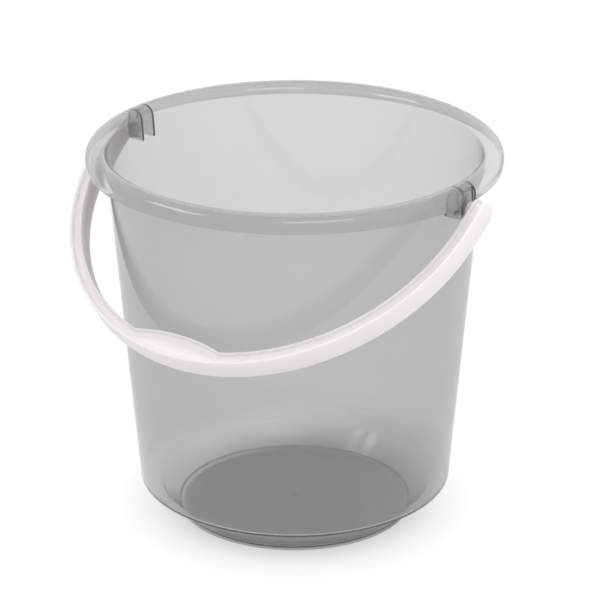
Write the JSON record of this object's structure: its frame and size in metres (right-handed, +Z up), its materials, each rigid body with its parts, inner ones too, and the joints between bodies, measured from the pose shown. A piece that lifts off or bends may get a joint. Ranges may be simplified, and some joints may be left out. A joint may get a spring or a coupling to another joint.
{
  "type": "water bucket",
  "caption": "Round clear grey plastic bucket with tapered wall, stepped foot and rolled rim, carried by a white plastic bail handle that swings on pegs in lugs under the rim.",
  "frame": {"origin": "on the bucket's axis, on the plane that its foot stands on", "axes": "+Z up along the bucket's axis; X along the handle's pivot axis; at rest the handle hangs towards -Y"},
  "size_m": [0.3034, 0.281, 0.2625],
  "materials": {
    "clear_grey_plastic": "clear smoke-grey injection moulding, polished",
    "white_plastic": "warm white injection moulding, satin"
  },
  "bodies": {
    "bucket": {"bucket_wall": "clear_grey_plastic", "shoulder_step": "clear_grey_plastic", "foot_ring": "clear_grey_plastic", "base_floor": "clear_grey_plastic", "rolled_rim": "clear_grey_plastic", "right_pivot_lug": "clear_grey_plastic", "left_pivot_lug": "clear_grey_plastic"},
    "handle": {"handle_bow": "white_plastic", "grip_pad": "white_plastic", "right_pivot_peg": "white_plastic", "left_pivot_peg": "white_plastic"}
  },
  "joints": [
    {"name": "handle_swing", "type": "hinge", "parent": "bucket", "child": "handle", "pos_m": [0, 0, 0.2461], "axis": [-1, 0, 0], "range_deg": [0, 249]}
  ]
}
